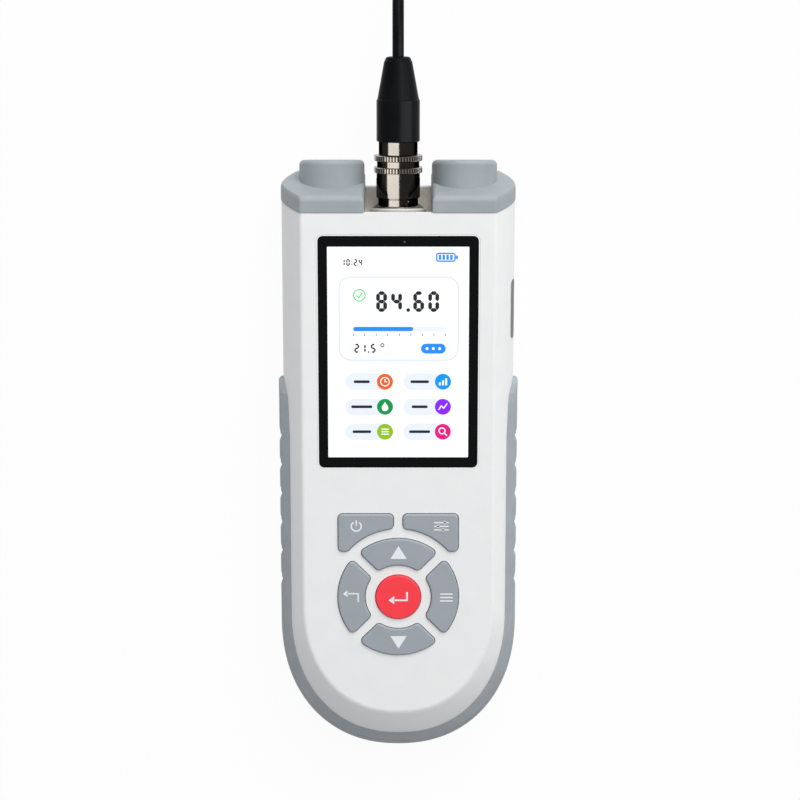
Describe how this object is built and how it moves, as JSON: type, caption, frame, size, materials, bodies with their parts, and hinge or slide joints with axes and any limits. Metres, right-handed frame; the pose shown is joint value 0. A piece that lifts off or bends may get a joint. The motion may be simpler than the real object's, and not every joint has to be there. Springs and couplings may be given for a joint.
{
  "type": "portable water quality analyzer",
  "caption": "Hand-held water quality meter with colour display, sealed keypad, rubber bumper, bayonet probe plug, lead and conductivity probe.",
  "frame": {"origin": "centre of the meter's footprint on the surface it lies on, back down; the plug, lead and probe are left out of the measure", "axes": "+Z out of the display, +Y towards the sockets, +X to the display's right"},
  "size_m": [0.0918, 0.4382, 0.033],
  "materials": {
    "white_shell": "fine satin texture",
    "grey_rubber": "matte",
    "panel_plastic": "matte",
    "collar_metal": "satin",
    "nickel": "bright nickel",
    "dark_nickel": "polished dark nickel",
    "contact_gold": "bright",
    "insulator": "waxy",
    "black_rubber": "semi-matte",
    "window_glass": "glossy",
    "display": "lit display",
    "ribbon": "polyimide film",
    "board": "solder mask",
    "dark_plastic": "satin",
    "key_grey": "satin",
    "key_red": "satin",
    "battery_wrap": "heat-shrunk film",
    "wire": "insulation",
    "steel": "plain"
  },
  "bodies": {
    "case": {"front_shell": "white_shell", "rear_shell": "white_shell", "side_bumper": "grey_rubber", "shell_gasket": "black_rubber", "case_screws": "steel", "connector_panel": "panel_plastic", "socket_collars": "collar_metal", "socket_left": "nickel", "socket_middle": "nickel", "socket_right": "nickel", "socket_insulators": "insulator", "socket_nuts": "nickel", "socket_leads": "black_rubber", "display_window": "window_glass", "display_module": "display", "display_ribbon": "ribbon", "main_board": "board", "key_switches": "dark_plastic", "buzzer": "dark_plastic", "battery": "battery_wrap", "battery_lead": "wire", "charging_socket": "steel"},
    "left_cover": {"socket_cover_left": "grey_rubber"},
    "right_cover": {"socket_cover_right": "grey_rubber"},
    "port_flap": {"port_cover": "black_rubber"},
    "plug": {"plug_body": "nickel", "plug_pin": "contact_gold", "plug_boot": "black_rubber", "lead_cable": "black_rubber", "cable_coil": "black_rubber", "cable_tie": "black_rubber", "tail_cable": "black_rubber", "probe_boot": "black_rubber", "probe_head": "dark_plastic", "probe_shaft": "dark_plastic", "probe_guard": "dark_plastic", "probe_stem": "insulator", "probe_rings": "steel"},
    "coupling": {"plug_sleeve": "dark_nickel"},
    "power_button": {"key_power": "key_grey"},
    "calibrate_button": {"key_calibrate": "key_grey"},
    "up_button": {"key_up": "key_grey"},
    "down_button": {"key_down": "key_grey"},
    "left_button": {"key_left": "key_grey"},
    "right_button": {"key_right": "key_grey"},
    "enter_button": {"key_enter": "key_red"}
  },
  "joints": [
    {"name": "power_press", "type": "slide", "parent": "case", "child": "power_button", "axis": [0, 0, -1], "range_m": [0, 0.0008], "stiffness_N_per_m": 400},
    {"name": "calibrate_press", "type": "slide", "parent": "case", "child": "calibrate_button", "axis": [0, 0, -1], "range_m": [0, 0.0008], "stiffness_N_per_m": 400},
    {"name": "up_press", "type": "slide", "parent": "case", "child": "up_button", "axis": [0, 0, -1], "range_m": [0, 0.0008], "stiffness_N_per_m": 400},
    {"name": "down_press", "type": "slide", "parent": "case", "child": "down_button", "axis": [0, 0, -1], "range_m": [0, 0.0008], "stiffness_N_per_m": 400},
    {"name": "left_press", "type": "slide", "parent": "case", "child": "left_button", "axis": [0, 0, -1], "range_m": [0, 0.0008], "stiffness_N_per_m": 400},
    {"name": "right_press", "type": "slide", "parent": "case", "child": "right_button", "axis": [0, 0, -1], "range_m": [0, 0.0008], "stiffness_N_per_m": 400},
    {"name": "enter_press", "type": "slide", "parent": "case", "child": "enter_button", "axis": [0, 0, -1], "range_m": [0, 0.0008], "stiffness_N_per_m": 400},
    {"name": "left_cover_pull", "type": "slide", "parent": "case", "child": "left_cover", "axis": [0, 1, 0], "range_m": [0, 0.022]},
    {"name": "right_cover_pull", "type": "slide", "parent": "case", "child": "right_cover", "axis": [0, 1, 0], "range_m": [0, 0.022]},
    {"name": "port_flap_hinge", "type": "hinge", "parent": "case", "child": "port_flap", "pos_m": [0.04075, 0.05485, 0.01655], "axis": [0, 1, 0], "range_deg": [0, 110]},
    {"name": "plug_pull", "type": "slide", "parent": "case", "child": "plug", "axis": [0, 1, 0], "range_m": [0, 0.02]},
    {"name": "coupling_turn", "type": "hinge", "parent": "plug", "child": "coupling", "pos_m": [0, 0.09795, 0.0195], "axis": [0, 1, 0], "range_deg": [-90, 0]}
  ]
}
